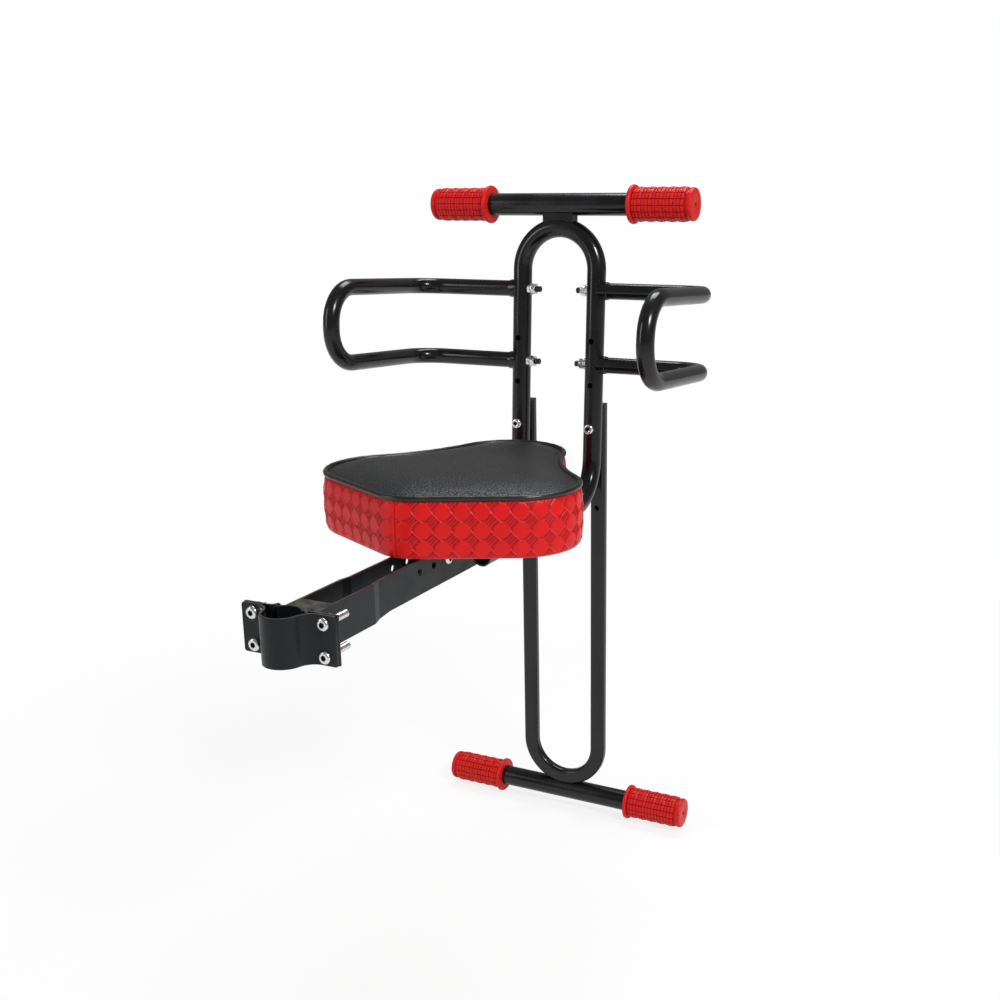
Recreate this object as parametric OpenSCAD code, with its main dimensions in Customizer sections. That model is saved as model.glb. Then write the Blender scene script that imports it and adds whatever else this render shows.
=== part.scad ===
// Child seat for the seat post of a bicycle: a saddle on a bent tube frame
// with handle bar, side rails, foot bar and a bolted post clamp.
// Origin: axis of the post clamp at its mid height. +Z up, +Y from the post
// clamp towards the tube frame, +X to the right of the rider. Millimetres.

/* [Tube frame] */

// Outside diameter of the upper hoop tube
frame_d = 19; // [16:0.5:25]

// Wall of the round tubes
tube_wall = 1.5; // [1:0.1:2.5]

// Half distance between the two upright legs
leg_x = 41.4; // [30:0.2:60]

// Lean of the upper legs away from the rider, degrees
leg_lean = 3.35; // [0:0.05:10]

// Height of the seat runs above the clamp centre
run_z = 6.2; // [0:0.2:40]

// Where the seat runs meet the bends below the legs, Y
bend_y = 412.8; // [380:0.1:460]

// Rear end of the seat runs
run_end_y = 226; // [200:1:300]

// Bend radius from leg to run
run_bend = 45; // [30:1:70]

// Height of the crown of the upper hoop (tube axis)
crown_z = 278.8; // [200:0.2:330]

/* [Handle bar and foot bar] */

// Outside diameter of both bars
bar_d = 22; // [19:0.5:25]

// Length of each bar
bar_len = 280; // [200:2:400]

// Foot bar axis, Z
foot_z = -343.8; // [-400:0.1:-200]

// Handle bar axis in front of the crown
handle_ahead = 1.36626; // [-4:0.01:4]

// Foot bar axis in front of the lower hoop's middle plane
foot_ahead = 1.6; // [-3:0.1:3]

// Width of the neck between crown and handle bar
neck_w = 33; // [20:1:50]

// Clear height of the neck
neck_h = 2; // [0.5:0.5:20]

// Thickness of the neck
neck_t = 12; // [8:1:18]

/* [Lower hoop] */

// Width of the flat tube
flat_w = 16.5; // [12:0.5:25]

// Depth of the flat tube
flat_t = 11; // [8:0.5:16]

// Corner radius of the flat tube
flat_r = 4; // [1:0.5:5]

// Half distance between the legs of the lower hoop
flat_x = 41.1; // [30:0.1:60]

// Upper end of the lower hoop
flat_top_z = 101.2; // [60:0.2:160]

// Depth of the notch that seats the hoop on the foot bar
foot_bite = 2.95; // [0.5:0.05:5]

// Gap between the upper legs and the lower hoop
hoop_gap = 1.55169; // [0.5:0.01:6]

// Height of the bolts that join both hoops
joint_z = 80.6; // [40:0.2:120]

// Distance between the height holes
height_pitch = 44; // [30:1:60]

// Diameter of the spare height holes
spare_hole_d = 5.6; // [3:0.1:7]

// Diameter of the bushes round the joint bolts
bush_d = 9; // [8:0.5:12]

// Length of the bushes
bush_len = 11; // [6:0.5:16]

/* [Side rails] */

// Outside diameter of the rail tube
rail_d = 16; // [12:0.5:20]

// Wall of the rail tube
rail_wall = 1.3; // [1:0.1:2]

// Height of the upper rail end
rail_top_z = 217.8; // [180:0.2:260]

// Height of the lower rail end
rail_low_z = 144.6; // [110:0.2:180]

// Reach of the rails to the side
rail_x = 162.5; // [120:0.5:220]

// Rearmost line of the rails
rail_front_y = 302; // [240:1:380]

// Rise of the upper run towards its rear end
rail_rise_top = 7; // [0:0.5:15]

// Side bend radius
rail_side_bend = 30; // [20:1:50]

// Rear bend radius
rail_rear_bend = 29; // [20:1:36]

// Collar at the end of each rail, diameter
rail_collar_d = 18; // [16:0.5:22]

// Collar length
rail_collar_len = 4; // [2:0.5:8]

// Distance of the small hole in the rail from the leg
rail_hole_back = 76; // [45:1:100]

// Diameter of the small hole in the rail
rail_hole_d = 3.4; // [2:0.2:6]

// Reach of a rail stud past the leg, on the rail's side
stud_out = 10; // [6:0.5:20]

// Reach of a rail stud past the leg, on the inner side
stud_in = 12; // [8:0.5:20]

// Length of the threaded plug in a rail end, past the leg
plug_len = 14; // [10:0.5:30]

// Thickness of a washer at its crown
washer_t = 1.4; // [0.8:0.1:3]

// Diameter of a washer
washer_d = 12; // [10:0.5:18]

/* [Grips] */

// Length of a grip
grip_len = 73; // [60:1:110]

// Body diameter of a grip
grip_d = 33; // [28:0.5:38]

// Height of the waves on the body
grip_wave = 0.9; // [0:0.1:2]

// Number of waves
grip_waves = 4; // [3:1:7]

// Flange diameter
grip_flange_d = 38.5; // [34:0.5:46]

// Flange thickness
grip_flange_t = 4; // [2:0.5:6]

// End wall of a grip
grip_end_t = 3.4; // [2:0.2:6]

/* [Post clamp and arm] */

// Radius of the post that is held
post_r = 14.3; // [12:0.1:17]

// Sheet thickness of clamp and arm
sheet = 2.5; // [2:0.1:4]

// Height of the clamp
clamp_h = 39.5; // [30:0.5:50]

// Half width over the clamp flanges
flange_x = 42.7; // [36:0.1:50]

// Front face of the front flange
flange_y = 6.5; // [4:0.1:10]

// Radius of the flare between post wall and flange
flare_r = 7; // [4:0.5:7.5]

// Gap between the flanges
flange_gap = 0.6; // [0.3:0.1:3]

// Clamp bolts: half distance across
clamp_bolt_x = 32.5; // [26:0.1:40]

// Clamp bolts: half distance in height
clamp_bolt_z = 12.8; // [8:0.1:16]

// Length of the clamp bolts
clamp_bolt_len = 29; // [16:1:40]

// Length of the web behind the post
web_len = 30; // [20:1:50]

// Width of the centre tube, inside the arm plates
centre_w = 24; // [20:0.5:30]

// Outward step of the arm plates near the clamp
arm_step = 2; // [0:0.5:5]

// Upper edge of the arm
arm_top_z = 15.2; // [10:0.1:18]

// Lower edge of the arm near the clamp
arm_low_z = -18.2; // [-25:0.1:-12]

// Lower edge of the arm past the step
arm_thin_z = -15.2; // [-20:0.1:-8]

// Where the step begins
arm_step_y = 96; // [60:1:140]

// Length of the step
arm_step_len = 9; // [4:1:20]

// Free end of the arm
arm_end_y = 275; // [240:1:320]

// Corner radius of the free end
arm_end_r = 14; // [3:0.5:15]

// First hole of the row in the arm
arm_hole_y = 167; // [140:1:200]

// Distance between the holes
arm_hole_pitch = 23; // [16:0.5:32]

// Height of the hole row
arm_hole_z = 5; // [0:0.1:10]

/* [Seat] */

// Thickness of the seat plate
plate_t = 4; // [2:0.5:8]

// Width of the seat plate
plate_w = 108; // [90:1:120]

// Length of the seat plate
plate_len = 142; // [120:1:160]

// Rear edge of the seat plate, Y
plate_y = 234; // [200:1:260]

// Distance of the rear seat screws from the edge of the plate
plate_inset = 22; // [10:1:40]

// Distance between the front and the rear seat screws
seat_screw_pitch = 96; // [60:1:110]

// Half distance between the seat screws to the side
seat_screw_x = 22; // [18:1:34]

// Depth of the seat screws in the board
seat_screw_in = 9; // [5:0.5:11]

// Nose radius
nose_r = 56.2; // [40:0.1:70]

// Nose centre, Y
nose_y = 353.3; // [330:0.1:380]

// Radius of the wide part
wing_r = 56.5; // [35:0.1:70]

// Centre of the wide part, X
wing_x = 67.2; // [50:0.1:90]

// Centre of the wide part, Y
wing_y = 245.3; // [220:0.1:270]

// Radius of the hollow side
waist_r = 182; // [80:1:400]

// Rear point of the seat
rear_y = 153.5; // [140:0.1:180]

// Radius of the rear point
rear_r = 43.8; // [20:0.1:80]

// Board thickness
board_t = 12; // [8:1:20]

// Height of the side band, top edge above the board underside
band_h = 49.6; // [40:0.1:70]

// Thickness of the cover
cover_t = 2; // [1:0.1:3]

// Bead diameter of the piping
piping_d = 4.6; // [3:0.1:6]

// Rise of the top panel at its edge
top_t = 4.6; // [2:0.1:8]

/* [Screws] */

// Bolt diameter
bolt_d = 6; // [5:0.5:8]

// Head diameter
head_d = 10.5; // [9:0.5:14]

// Head height
head_h = 3.2; // [2:0.1:5]

// Width across the flats of a nut
nut_w = 10; // [8:0.5:13]

// Height of a nut
nut_h = 5; // [3:0.5:7]

/* [Hidden] */

$fn = 48;
bore = bolt_d + 0.5;
slip = 0.2;
lean_y = tan(leg_lean);
run_d = frame_d - 0.8;
top_seat_z = run_z + run_d / 2;
board_z = top_seat_z + plate_t;
band_z = board_z + 3;
seam_z = board_z + band_h;
lap = 1;
leg_y = bend_y + run_bend * (cos(leg_lean) + sin(leg_lean) * lean_y);
leg_len = (crown_z - run_z) / cos(leg_lean) + run_bend * (lean_y - 1) - leg_x;
arm_in = centre_w / 2;
post_wall_r = post_r + sheet / 2;
rear_flange_y = flange_y + sheet + flange_gap;
centre_z = top_seat_z - centre_w / 2;
handle_y = leg_line_y(crown_z) + handle_ahead;
handle_z = crown_z + frame_d / 2 + neck_h + bar_d / 2;
flat_y = leg_line_y(joint_z) + frame_d / 2 / cos(leg_lean) + hoop_gap + flat_t / 2;
flat_low_z = foot_z + bar_d / 2 + flat_w / 2 - foot_bite;
foot_y = flat_y + foot_ahead;

function leg_line_y(z) = leg_y + (z - run_z) * lean_y;

// A bar of any section made of straight lengths and bends, from the origin
// along +X. Each step is [roll, length, turn, radius]: the bar is rolled
// about itself, runs straight, then turns left (or right when negative).
module bent_bar(steps, i = 0) {
    s = steps[i];
    side = s[2] > 0 ? 1 : -1;
    rotate([s[0], 0, 0]) {
        if (s[1] > 0)
            rotate([90, 0, 90])
                linear_extrude(s[1])
                    children();
        translate([s[1], side * s[3], 0]) {
            if (s[2] != 0)
                rotate([0, 0, side > 0 ? -90 : 90 + s[2]])
                    rotate_extrude(angle = abs(s[2]))
                        translate([s[3], 0])
                            children();
            if (i < len(steps) - 1)
                rotate([0, 0, s[2]])
                    translate([0, -side * s[3], 0])
                        bent_bar(steps, i + 1)
                            children();
        }
    }
}

// Plane of the drawing turned upright: drawing X along Y, drawing Y along Z.
module side_view(x) {
    translate([x, 0, 0])
        rotate([90, 0, 90])
            children();
}

module rounded_bar(w, t, r) {
    square([w - 2 * r, t], center = true);
    square([w, t - 2 * r], center = true);
    for (x = [-1, 1], y = [-1, 1])
        translate([x * (w / 2 - r), y * (t / 2 - r)])
            circle(r);
}

// Screw pointing along +Z, the underside of its head at zero.
module button_screw(len) {
    difference() {
        union() {
            cylinder(h = len, d = bolt_d);
            intersection() {
                translate([0, 0, -head_h])
                    cylinder(h = head_h, d = head_d);
                translate([0, 0, head_d * 0.62 - head_h])
                    sphere(head_d * 0.62);
            }
        }
        translate([0, 0, -head_h - 1])
            cylinder(h = 2.9, d = 4.6, $fn = 6);
    }
}

module hex_nut() {
    difference() {
        cylinder(h = nut_h, d = nut_w / cos(30), $fn = 6);
        translate([0, 0, -1])
            cylinder(h = nut_h + 2, d = bolt_d + slip);
    }
}

// Frame of the leaning part: origin where the runs end, legs upright.
module leaning() {
    translate([0, bend_y, run_z])
        rotate([-leg_lean, 0, 0])
            children();
}

module leg_rod(x, d) {
    leaning()
        translate([x, run_bend, run_bend])
            cylinder(h = leg_len, d = d);
}

// Round tube of the upper hoop: bends, leaning legs and crown in one piece,
// with a run lapped into the end of each bend.
module hoop_rod(inset, past) {
    leaning()
        translate([leg_x, -lap, 0])
            rotate([0, 0, 90])
                bent_bar([
                    [90, lap, 90, run_bend],
                    [-90, leg_len, 180, leg_x],
                    [90, leg_len, 90, run_bend],
                    [0, lap, 0, 0]
                ])
                    circle(frame_d / 2 - inset);
    for (x = [-leg_x, leg_x])
        translate([x, run_end_y - past, run_z])
            rotate([-90, 0, 0])
                cylinder(h = bend_y - run_end_y + past + lap, d = run_d - 2 * inset);
}

module upper_hoop() {
    color("#17181b")
        difference() {
            hoop_rod(0, 0);
            hoop_rod(tube_wall, 1);
            for (x = [-leg_x, leg_x]) {
                for (i = [0:2])
                    translate([x, leg_line_y(joint_z), joint_z + i * height_pitch])
                        rotate([90, 0, 0])
                            cylinder(h = 60, d = i == 0 ? bore : spare_hole_d, center = true);
                for (z = [rail_low_z, rail_top_z])
                    translate([x, leg_line_y(z), z])
                        rotate([0, 90, 0])
                            cylinder(h = 30, d = bore, center = true);
            }
        }
}

module bar_rod(y, z, d, len) {
    translate([0, y, z])
        rotate([0, 90, 0])
            cylinder(h = len, d = d, center = true);
}

module neck() {
    $fn = 128;
    color("#17181b")
        difference() {
            translate([-neck_w / 2, leg_line_y(crown_z) - neck_t / 2, crown_z])
                cube([neck_w, neck_t, handle_z - bar_d / 4 - crown_z]);
            hoop_rod(0, 0);
            bar_rod(handle_y, handle_z, bar_d, bar_len);
        }
}

module handle_bar() {
    color("#17181b")
        difference() {
            bar_rod(handle_y, handle_z, bar_d, bar_len);
            bar_rod(handle_y, handle_z, bar_d - 2 * tube_wall, bar_len + 2);
        }
}

module foot_bar() {
    color("#17181b")
        difference() {
            bar_rod(foot_y, foot_z, bar_d, bar_len);
            bar_rod(foot_y, foot_z, bar_d - 2 * tube_wall, bar_len + 2);
        }
}

module flat_rod(w, t, r, past) {
    leg = flat_top_z - flat_low_z - flat_x;
    translate([flat_x, flat_y, flat_top_z + past])
        rotate([0, 90, 0])
            bent_bar([
                [-90, leg + past, 180, flat_x],
                [0, leg + past, 0, 0]
            ])
                rounded_bar(w, t, r);
}

module lower_hoop() {
    color("#17181b")
        difference() {
            flat_rod(flat_w, flat_t, flat_r, 0);
            flat_rod(flat_w - 2 * tube_wall, flat_t - 2 * tube_wall, flat_r - tube_wall, 1);
            bar_rod(foot_y, foot_z, bar_d, bar_len);
            for (x = [-flat_x, flat_x], i = [0:2])
                translate([x, flat_y, joint_z - i * height_pitch])
                    rotate([90, 0, 0])
                        cylinder(h = 40, d = i == 0 ? bush_d + slip : spare_hole_d, center = true);
        }
}

module hoop_plugs() {
    color("#101012")
        for (x = [-flat_x, flat_x])
            translate([x, flat_y, flat_top_z]) {
                linear_extrude(2)
                    rounded_bar(flat_w, flat_t, flat_r);
                translate([0, 0, -9])
                    linear_extrude(9)
                        rounded_bar(flat_w - 2 * tube_wall - slip, flat_t - 2 * tube_wall - slip, 2);
            }
}

// Right-hand rail: side bend, rising upper run, upright rear end, lower run.
module rail_rod(d) {
    top_y = leg_line_y(rail_top_z);
    low_y = leg_line_y(rail_low_z);
    out = rail_x - leg_x - rail_side_bend;
    rear_top_z = rail_top_z + rail_rise_top;
    upright = rear_top_z - rail_low_z - 2 * rail_rear_bend;
    run_from = top_y - rail_side_bend - lap;
    run_to = rail_front_y + rail_rear_bend + lap;
    rise_a = atan(rail_rise_top / (run_from - run_to));
    translate([leg_x, top_y, rail_top_z])
        bent_bar([[0, out, -90, rail_side_bend], [0, 2 * lap, 0, 0]])
            circle(d / 2);
    translate([rail_x, run_from, rail_top_z])
        rotate([90 - rise_a, 0, 0])
            translate([0, 0, -lap])
                cylinder(h = norm([run_from - run_to, rail_rise_top]) + 2 * lap, d = d - 0.8);
    translate([rail_x, run_to + lap, rear_top_z])
        rotate([0, 0, -90])
            bent_bar([
                [90, 2 * lap, -90, rail_rear_bend],
                [0, upright, -90, rail_rear_bend],
                [0, low_y - rail_side_bend - rail_front_y - rail_rear_bend, 0, 0],
                [90, 0, 90, rail_side_bend],
                [0, out, 0, 0]
            ])
                circle(d / 2);
}

module rail() {
    difference() {
        union() {
            rail_rod(rail_d);
            for (z = [rail_low_z, rail_top_z])
                translate([leg_x, leg_line_y(z), z])
                    rotate([0, 90, 0])
                        cylinder(h = frame_d / 2 + rail_collar_len, d = rail_collar_d);
        }
        rail_rod(rail_d - 2 * rail_wall);
        leg_rod(leg_x, frame_d);
        translate([rail_x, leg_line_y(rail_top_z) - rail_hole_back, rail_top_z + 3])
            rotate([0, 50, 0])
                cylinder(h = 12, d = rail_hole_d);
    }
}

module rail_right() {
    color("#17181b")
        rail();
}

module rail_left() {
    color("#17181b")
        mirror([1, 0, 0])
            rail();
}

module at_rail_ends() {
    for (side = [0, 1], z = [rail_low_z, rail_top_z])
        mirror([side, 0, 0])
            translate([leg_x, leg_line_y(z), z])
                rotate([0, 90, 0])
                    children();
}

module rail_plugs() {
    color("#8f9499")
        difference() {
            at_rail_ends()
                cylinder(h = frame_d / 2 + plug_len, d = rail_d - 2 * rail_wall - slip);
            at_rail_ends()
                cylinder(h = frame_d + 2 * plug_len, d = bolt_d + slip);
            for (x = [-leg_x, leg_x])
                leg_rod(x, frame_d);
        }
}

module rail_studs() {
    color("#3a3c40")
        at_rail_ends()
            translate([0, 0, -frame_d / 2 - stud_in])
                cylinder(h = frame_d + stud_in + stud_out, d = bolt_d);
}

module rail_washers() {
    color("#c9ccd0")
        difference() {
            at_rail_ends()
                translate([0, 0, -frame_d / 2 - washer_t])
                    cylinder(h = washer_t + 0.15 * washer_d, d = washer_d);
            at_rail_ends()
                translate([0, 0, -frame_d])
                    cylinder(h = 2 * frame_d, d = bolt_d + slip);
            for (x = [-leg_x, leg_x])
                leg_rod(x, frame_d);
        }
}

module rail_nuts() {
    color("#c9ccd0")
        at_rail_ends()
            translate([0, 0, -frame_d / 2 - washer_t - nut_h])
                hex_nut();
}

// One grip along +X from its flange, with a blind bore for the bar.
module grip() {
    bar_in = grip_len - grip_end_t;
    body = grip_len - grip_flange_t - 7;
    step = body / (grip_waves * 5);
    difference() {
        rotate([0, 90, 0])
            rotate_extrude()
                polygon(concat(
                    [[0, 0], [grip_flange_d / 2 - 1.2, 0], [grip_flange_d / 2, 1.2]],
                    [[grip_flange_d / 2, grip_flange_t - 1], [grip_flange_d / 2 - 1, grip_flange_t]],
                    [for (i = [0:grip_waves * 5])
                        [grip_d / 2 - grip_wave * cos(i * 72), grip_flange_t + i * step]],
                    [[grip_d / 2 - 2.4, grip_len - 6.2], [grip_d / 2 - 2.4, grip_len - 4.6]],
                    [[grip_d / 2 - 0.8, grip_len - 4], [grip_d / 2 - 1, grip_len - 1.4]],
                    [[grip_d / 2 - 2.6, grip_len], [0, grip_len]]
                ));
        rotate([0, 90, 0])
            translate([0, 0, -1])
                cylinder(h = bar_in + 1, d = bar_d);
        rotate([0, 90, 0])
            cylinder(h = grip_len + 1, d = 4);
    }
}

module place_grip(side, y, z) {
    translate([side * (bar_len / 2 + grip_end_t - grip_len), y, z])
        rotate([0, 0, side > 0 ? 0 : 180])
            grip();
}

module grip_handle_left() {
    color("#e32a22")
        place_grip(-1, handle_y, handle_z);
}

module grip_handle_right() {
    color("#e32a22")
        place_grip(1, handle_y, handle_z);
}

module grip_foot_left() {
    color("#e32a22")
        place_grip(-1, foot_y, foot_z);
}

module grip_foot_right() {
    color("#e32a22")
        place_grip(1, foot_y, foot_z);
}

// Bolts that join the hoops; each head bears on the crest of the leaning leg.
module at_leg_joint(y) {
    for (x = [-leg_x, leg_x])
        translate([x, y, joint_z])
            rotate([-90, 0, 0])
                children();
}

module leg_bolts() {
    color("#c9ccd0")
        at_leg_joint(leg_line_y(joint_z) - frame_d / 2 / cos(leg_lean) - head_d / 2 * lean_y - 0.05)
            button_screw(ceil(frame_d + hoop_gap + flat_t));
}

module leg_inserts() {
    gap_y = leg_line_y(joint_z) + frame_d / 2 / cos(leg_lean);
    front_y = flat_y - flat_t / 2;
    color("#b9bdc2")
        difference() {
            union() {
                at_leg_joint(gap_y - 0.4)
                    cylinder(h = front_y - gap_y + 0.4, d = bush_d + 2);
                at_leg_joint(gap_y - 0.4)
                    cylinder(h = bush_len, d = bush_d);
            }
            at_leg_joint(gap_y - 2)
                cylinder(h = bush_len + 4, d = bolt_d + slip);
            for (x = [-leg_x, leg_x])
                leg_rod(x, frame_d);
        }
}

module clamp_holes() {
    for (x = [-1, 1], z = [-1, 1])
        translate([x * clamp_bolt_x, 0, z * clamp_bolt_z])
            rotate([-90, 0, 0])
                cylinder(h = 30, d = bore);
}

module clamp_front() {
    mid_y = flange_y + sheet / 2;
    color("#2c3238")
        difference() {
            translate([-flange_x, mid_y, 0])
                bent_bar([
                    [0, flange_x - post_wall_r - flare_r, -90, flare_r],
                    [0, mid_y - flare_r, 180, post_wall_r],
                    [0, mid_y - flare_r, -90, flare_r],
                    [0, flange_x - post_wall_r - flare_r, 0, 0]
                ])
                    square([sheet, clamp_h], center = true);
            clamp_holes();
        }
}

// Curved seat for the post between the arm plates, with a flat top web.
module clamp_cradle() {
    color("#2c3238")
        difference() {
            union() {
                intersection() {
                    translate([0, 0, arm_low_z])
                        cylinder(h = arm_top_z - arm_low_z, r = post_r + sheet);
                    translate([-arm_in - arm_step, rear_flange_y, arm_low_z])
                        cube([2 * (arm_in + arm_step), 20, arm_top_z - arm_low_z]);
                }
                translate([-arm_in - arm_step, post_r + 1.2, arm_top_z - sheet])
                    cube([2 * (arm_in + arm_step), web_len, sheet]);
            }
            translate([0, 0, -30])
                cylinder(h = 60, r = post_r);
        }
}

module clamp_bolts() {
    color("#c9ccd0")
        for (x = [-1, 1], z = [-1, 1])
            translate([x * clamp_bolt_x, flange_y, z * clamp_bolt_z])
                rotate([-90, 0, 0])
                    button_screw(clamp_bolt_len);
}

module clamp_nuts() {
    color("#c9ccd0")
        for (x = [-1, 1], z = [-1, 1])
            translate([x * clamp_bolt_x, rear_flange_y + sheet, z * clamp_bolt_z])
                rotate([-90, 0, 0])
                    hex_nut();
}

// Plan of the right-hand arm plate: flange, bend, long plate with a step.
module arm_plan() {
    near_in = arm_in + arm_step;
    bend_in = 3.25;
    cx = near_in + sheet + bend_in;
    cy = rear_flange_y + sheet + bend_in;
    translate([cx, rear_flange_y])
        square([flange_x - cx, sheet]);
    intersection() {
        difference() {
            translate([cx, cy])
                circle(bend_in + sheet);
            translate([cx, cy])
                circle(bend_in);
        }
        translate([near_in, rear_flange_y])
            square(bend_in + sheet);
    }
    polygon([
        [near_in, cy],
        [near_in + sheet, cy],
        [near_in + sheet, arm_step_y],
        [arm_in + sheet, arm_step_y + arm_step_len],
        [arm_in + sheet, arm_end_y],
        [arm_in, arm_end_y],
        [arm_in, arm_step_y + arm_step_len],
        [near_in, arm_step_y]
    ]);
}

module arm_side() {
    front_y = rear_flange_y + sheet;
    polygon([
        [0, -clamp_h / 2],
        [front_y + 4, -clamp_h / 2],
        [front_y + 8, arm_low_z],
        [arm_step_y, arm_low_z],
        [arm_step_y + 24, arm_thin_z],
        [arm_end_y - arm_end_r, arm_thin_z],
        [arm_end_y - arm_end_r, arm_thin_z + arm_end_r],
        [arm_end_y, arm_thin_z + arm_end_r],
        [arm_end_y, arm_top_z],
        [front_y + 8, arm_top_z],
        [front_y + 4, clamp_h / 2],
        [0, clamp_h / 2]
    ]);
    translate([arm_end_y - arm_end_r, arm_thin_z + arm_end_r])
        circle(arm_end_r);
}

module arm_plate() {
    difference() {
        intersection() {
            linear_extrude(clamp_h, center = true)
                arm_plan();
            side_view(0)
                linear_extrude(60)
                    arm_side();
        }
        clamp_holes();
        for (i = [0:4])
            translate([0, arm_hole_y + i * arm_hole_pitch, arm_hole_z])
                rotate([0, 90, 0])
                    cylinder(h = 60, d = bore);
    }
}

module arm_right() {
    color("#2c3238")
        arm_plate();
}

module arm_left() {
    color("#2c3238")
        mirror([1, 0, 0])
            arm_plate();
}

module at_arm_bolts(x) {
    for (i = [2, 4])
        translate([x, arm_hole_y + i * arm_hole_pitch, arm_hole_z])
            rotate([0, -90, 0])
                children();
}

module arm_bolts() {
    color("#c9ccd0")
        at_arm_bolts(arm_in + sheet)
            button_screw(centre_w + 2 * sheet + nut_h + 3);
}

module arm_nuts() {
    color("#c9ccd0")
        at_arm_bolts(-arm_in - sheet)
            hex_nut();
}

module centre_tube() {
    inner = centre_w - 2 * tube_wall;
    start_y = arm_hole_y + 2 * arm_hole_pitch - centre_w / 2;
    len = plate_y + plate_len + 8 - start_y;
    color("#17181b")
        difference() {
            translate([-centre_w / 2, start_y, centre_z - centre_w / 2])
                cube([centre_w, len, centre_w]);
            translate([-inner / 2, start_y - 1, centre_z - inner / 2])
                cube([inner, len + 2, inner]);
            at_arm_bolts(arm_in + 1)
                cylinder(h = centre_w + 2, d = bore);
        }
}

module at_seat_screws(z) {
    for (x = [-seat_screw_x, seat_screw_x], y = [0, seat_screw_pitch])
        translate([x, plate_y + plate_inset + y, z])
            children();
}

module seat_plate() {
    color("#17181b")
        difference() {
            translate([-plate_w / 2, plate_y, top_seat_z])
                cube([plate_w, plate_len, plate_t]);
            at_seat_screws(top_seat_z - 1)
                cylinder(h = plate_t + 2, d = bore);
        }
}

module seat_screws() {
    color("#c9ccd0")
        at_seat_screws(top_seat_z)
            button_screw(plate_t + seat_screw_in);
}

// Outline of the seat, drawn in by d: nose circle, two wide circles and a
// rear point joined by straight rear edges, hollowed by two waist circles.
nose_c = [0, nose_y];
wing_c = [wing_x, wing_y];
rear_c = [0, rear_y + rear_r];
nose_wing = norm(wing_c - nose_c);
nose_reach = nose_r + waist_r;
wing_reach = wing_r + waist_r;
waist_s = (nose_reach * nose_reach - wing_reach * wing_reach + nose_wing * nose_wing) / (2 * nose_wing);
waist_h = sqrt(nose_reach * nose_reach - waist_s * waist_s);
wing_u = (wing_c - nose_c) / nose_wing;
waist_c = nose_c + wing_u * waist_s + [-wing_u[1], wing_u[0]] * waist_h;
rear_v = wing_c - rear_c;
rear_a = atan2(rear_v[1], rear_v[0]) - acos((rear_r - wing_r) / norm(rear_v));
wing_a = atan2(waist_c[1] - wing_c[1], waist_c[0] - wing_c[0]);
nose_a = atan2(waist_c[1] - nose_c[1], waist_c[0] - nose_c[0]);

function polar(c, r, a) = c + r * [cos(a), sin(a)];
function flip(q) = [-q[0], q[1]];

module seat_outline(d) {
    q = [
        polar(rear_c, rear_r - d, rear_a),
        polar(wing_c, wing_r - d, rear_a),
        wing_c,
        polar(wing_c, wing_r - d, wing_a),
        polar(nose_c, nose_r - d, nose_a),
        nose_c
    ];
    difference() {
        union() {
            translate(nose_c)
                circle(nose_r - d);
            translate(wing_c)
                circle(wing_r - d);
            translate(flip(wing_c))
                circle(wing_r - d);
            translate(rear_c)
                circle(rear_r - d);
            polygon(concat(q, [for (i = [5:-1:0]) flip(q[i])], [rear_c]));
        }
        translate(waist_c)
            circle(waist_r + d, $fn = 360);
        translate(flip(waist_c))
            circle(waist_r + d, $fn = 360);
    }
}

module seat_board() {
    color("#b08a5a")
        difference() {
            translate([0, 0, board_z])
                linear_extrude(board_t)
                    seat_outline(cover_t + 0.2);
            at_seat_screws(board_z - 1)
                cylinder(h = seat_screw_in + 2, d = bolt_d + slip);
        }
}

module seat_foam() {
    color("#d8cfa6")
        translate([0, 0, board_z + board_t])
            linear_extrude(band_h - board_t)
                seat_outline(cover_t + 0.2);
}

module seat_band() {
    color("#d9252a")
        translate([0, 0, band_z])
            linear_extrude(seam_z - band_z)
                difference() {
                    seat_outline(0);
                    seat_outline(cover_t);
                }
}

// Bead over the seam, built up in layers that round it off.
module seat_piping() {
    mid = 1.2;
    color("#101012")
        for (q = [[0, 0.24, 0.34], [0.24, 0.76, 0.5], [0.76, 1, 0.34]])
            translate([0, 0, seam_z + q[0] * piping_d])
                linear_extrude((q[1] - q[0]) * piping_d)
                    difference() {
                        seat_outline(mid - q[2] * piping_d);
                        seat_outline(mid + q[2] * piping_d);
                    }
}

module seat_top() {
    color("#26272a")
        translate([0, 0, seam_z])
            linear_extrude(top_t)
                seat_outline(1.2 + piping_d / 2 + 0.1);
}

upper_hoop();
neck();
handle_bar();
lower_hoop();
hoop_plugs();
foot_bar();
rail_left();
rail_right();
rail_plugs();
rail_studs();
rail_washers();
rail_nuts();
grip_handle_left();
grip_handle_right();
grip_foot_left();
grip_foot_right();
leg_bolts();
leg_inserts();
clamp_front();
clamp_cradle();
clamp_bolts();
clamp_nuts();
arm_left();
arm_right();
arm_bolts();
arm_nuts();
centre_tube();
seat_plate();
seat_screws();
seat_board();
seat_foam();
seat_band();
seat_piping();
seat_top();
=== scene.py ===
"""A child seat for the seat post of a bicycle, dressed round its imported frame."""

import math

import bpy
import numpy as np
from mathutils import Matrix, Vector


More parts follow.
